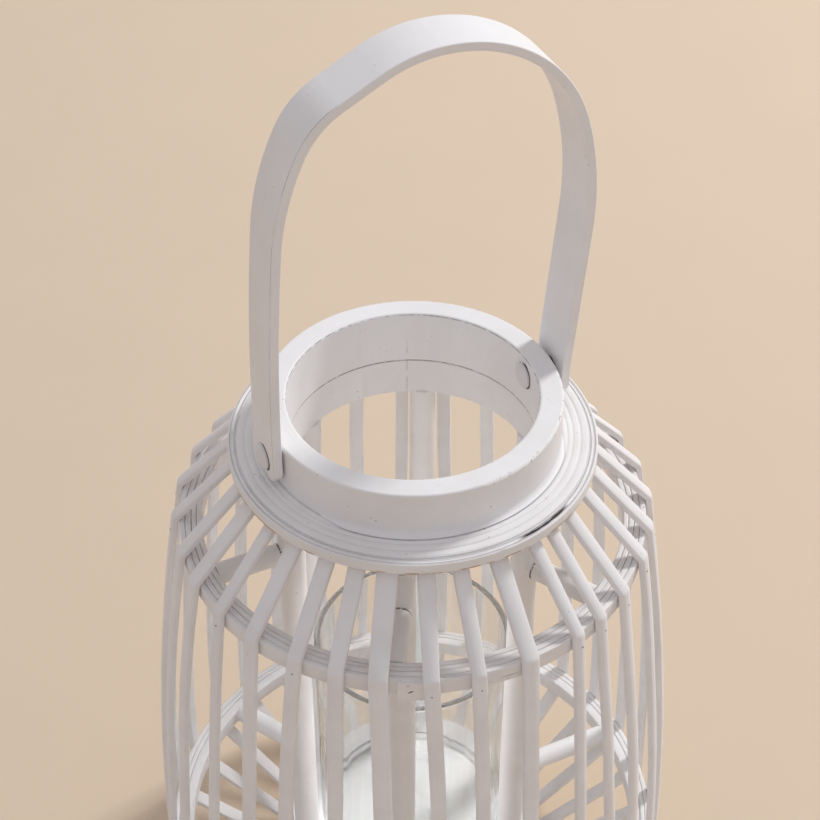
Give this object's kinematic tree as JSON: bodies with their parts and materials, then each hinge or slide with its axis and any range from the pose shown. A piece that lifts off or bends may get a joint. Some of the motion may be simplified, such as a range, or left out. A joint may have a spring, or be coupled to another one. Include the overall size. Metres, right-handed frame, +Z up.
{
  "type": "candle lantern",
  "caption": "Openwork candle lantern: bent painted slats on hoops and posts, round collar, swinging arch handle, and a clear glass insert that lifts out.",
  "frame": {"origin": "on the floor, under the middle of the lantern", "axes": "+Z up, X along the handle's pivot axis, Y the way the handle swings"},
  "size_m": [0.3149, 0.3149, 0.6326],
  "materials": {
    "slat_paint": "matte white paint over split bamboo",
    "winding_paint": "matte white paint over wound cane strips",
    "frame_paint": "satin white paint over wood",
    "handle_paint": "satin white paint over bent wood",
    "pivot_paint": "white paint over steel",
    "clear_glass": "clear, faint green at the edges"
  },
  "bodies": {
    "cage": {"base_binding": "winding_paint", "base_hoop": "frame_paint", "candle_plate": "frame_paint", "collar": "frame_paint", "flange_binding": "winding_paint", "flange_cap": "winding_paint", "flange_coil_inner": "winding_paint", "flange_coil_outer": "winding_paint", "lower_hoop_inner": "winding_paint", "lower_hoop_outer": "winding_paint", "lower_struts": "frame_paint", "neck_hoop": "frame_paint", "pivot_barrel_left": "pivot_paint", "pivot_barrel_right": "pivot_paint", "pivot_screw_left": "pivot_paint", "pivot_screw_right": "pivot_paint", "post_1": "frame_paint", "post_2": "frame_paint", "post_3": "frame_paint", "post_4": "frame_paint", "post_5": "frame_paint", "post_6": "frame_paint", "shoulder_hoop_inner": "winding_paint", "shoulder_hoop_outer": "winding_paint", "slat_01": "slat_paint", "slat_02": "slat_paint", "slat_03": "slat_paint", "slat_04": "slat_paint", "slat_05": "slat_paint", "slat_06": "slat_paint", "slat_07": "slat_paint", "slat_08": "slat_paint", "slat_09": "slat_paint", "slat_10": "slat_paint", "slat_11": "slat_paint", "slat_12": "slat_paint", "slat_13": "slat_paint", "slat_14": "slat_paint", "slat_15": "slat_paint", "slat_16": "slat_paint", "slat_17": "slat_paint", "slat_18": "slat_paint", "slat_19": "slat_paint", "slat_20": "slat_paint", "slat_21": "slat_paint", "slat_22": "slat_paint", "slat_23": "slat_paint", "slat_24": "slat_paint", "slat_25": "slat_paint", "slat_26": "slat_paint", "slat_27": "slat_paint", "slat_28": "slat_paint", "slat_29": "slat_paint", "slat_30": "slat_paint", "slat_31": "slat_paint", "slat_32": "slat_paint", "upper_struts": "frame_paint"},
    "handle": {"handle": "handle_paint"},
    "glass": {"glass_insert": "clear_glass"}
  },
  "joints": [
    {"name": "handle_swing", "type": "hinge", "parent": "cage", "child": "handle", "pos_m": [0, 0, 0.408], "axis": [1, 0, 0], "range_deg": [-85, 85]},
    {"name": "glass_lift", "type": "slide", "parent": "cage", "child": "glass", "axis": [0, 0, 1], "range_m": [0, 0.355]}
  ]
}
